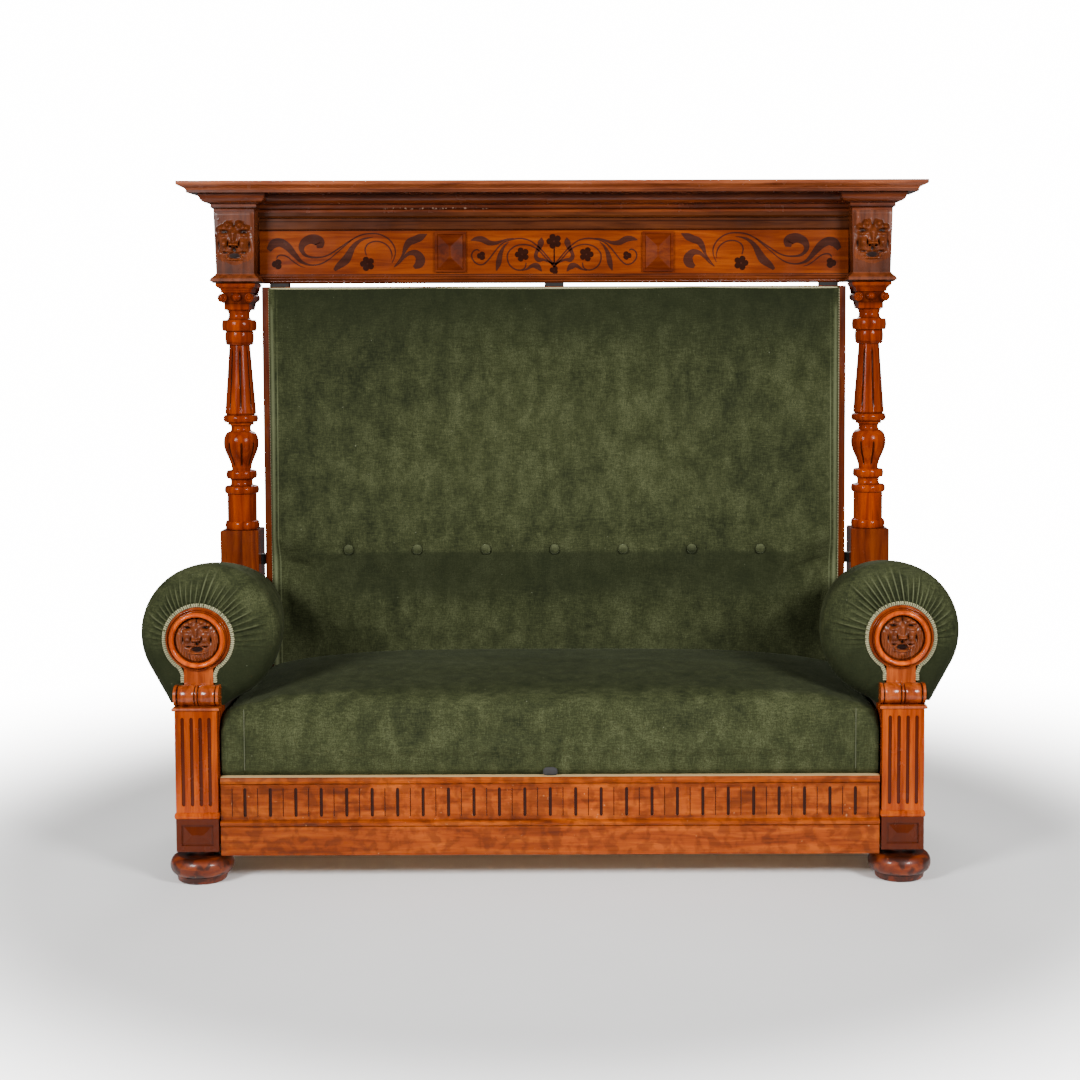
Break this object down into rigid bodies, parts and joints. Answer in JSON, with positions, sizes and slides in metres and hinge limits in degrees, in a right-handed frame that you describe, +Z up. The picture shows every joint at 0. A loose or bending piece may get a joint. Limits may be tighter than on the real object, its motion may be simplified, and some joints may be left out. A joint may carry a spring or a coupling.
{
  "type": "sofa bed",
  "caption": "High-backed carved sofa bed: turned fluted columns carry a broken cornice and inlaid frieze; the velvet seat draws forward on a fluted bed drawer between rolled arms.",
  "frame": {"origin": "on the floor, in the middle of the plan", "axes": "+X across the sofa to the viewer's right, -Y towards the viewer in front, +Z up"},
  "size_m": [1.956, 0.6946, 1.685],
  "materials": {
    "polished_walnut": "french polish, red-brown",
    "frieze_veneer": "polished honey veneer with dark inlay",
    "olive_velvet": "cut-pile velvet, dark olive",
    "beech": "raw, sanded",
    "linen_lining": "plain weave",
    "jute_webbing": "woven straps",
    "blackened_iron": "blackened",
    "pull_leather": "worn, smooth"
  },
  "bodies": {
    "frame": {"arm_board_left": "beech", "arm_board_right": "beech", "arm_facing_left": "polished_walnut", "arm_facing_right": "polished_walnut", "arm_medallion_left": "polished_walnut", "arm_medallion_right": "polished_walnut", "arm_roll_left": "olive_velvet", "arm_roll_right": "olive_velvet", "back_bottom_rail": "beech", "back_cushion": "olive_velvet", "back_lining": "linen_lining", "back_side_cleat_left": "blackened_iron", "back_side_cleat_right": "blackened_iron", "back_stile_left": "polished_walnut", "back_stile_right": "polished_walnut", "back_top_cleat_left": "blackened_iron", "back_top_cleat_middle": "blackened_iron", "back_top_cleat_right": "blackened_iron", "back_top_rail": "polished_walnut", "capital_left": "polished_walnut", "capital_right": "polished_walnut", "column_left": "polished_walnut", "column_right": "polished_walnut", "cornice_bed_mould": "polished_walnut", "cornice_corona": "polished_walnut", "drawer_runner_left": "beech", "drawer_runner_right": "beech", "entablature_block_left": "polished_walnut", "entablature_block_right": "polished_walnut", "frieze_board": "frieze_veneer", "frieze_bottom_moulding": "polished_walnut", "frieze_pyramid_left": "polished_walnut", "frieze_pyramid_right": "polished_walnut", "front_foot_left": "polished_walnut", "front_foot_right": "polished_walnut", "front_post_left": "polished_walnut", "front_post_right": "polished_walnut", "front_scroll_left": "polished_walnut", "front_scroll_right": "polished_walnut", "rear_post_left": "polished_walnut", "rear_post_right": "polished_walnut", "rear_rail": "beech", "side_panel_left": "olive_velvet", "side_panel_right": "olive_velvet", "side_rail_left": "beech", "side_rail_right": "beech"},
    "bed_drawer": {"drawer_front": "polished_walnut", "drawer_side_left": "beech", "drawer_side_right": "beech", "drawer_back": "beech", "drawer_bottom": "beech", "seat_rail_front": "beech", "seat_rail_rear": "beech", "seat_rail_left": "beech", "seat_rail_right": "beech", "seat_webbing": "jute_webbing", "seat_cushion": "olive_velvet", "seat_pull": "pull_leather"},
    "turn_foot_left": {"turn_foot_left": "beech"},
    "turn_foot_right": {"turn_foot_right": "beech"}
  },
  "joints": [
    {"name": "drawer_slide", "type": "slide", "parent": "frame", "child": "bed_drawer", "axis": [0, -1, 0], "range_m": [0, 0.4]},
    {"name": "turn_foot_left_hinge", "type": "hinge", "parent": "bed_drawer", "child": "turn_foot_left", "pos_m": [-0.45, -0.28975, 0.092], "axis": [0, 1, 0], "range_deg": [0, 90]},
    {"name": "turn_foot_right_hinge", "type": "hinge", "parent": "bed_drawer", "child": "turn_foot_right", "pos_m": [0.45, -0.28975, 0.092], "axis": [0, -1, 0], "range_deg": [0, 90]}
  ]
}
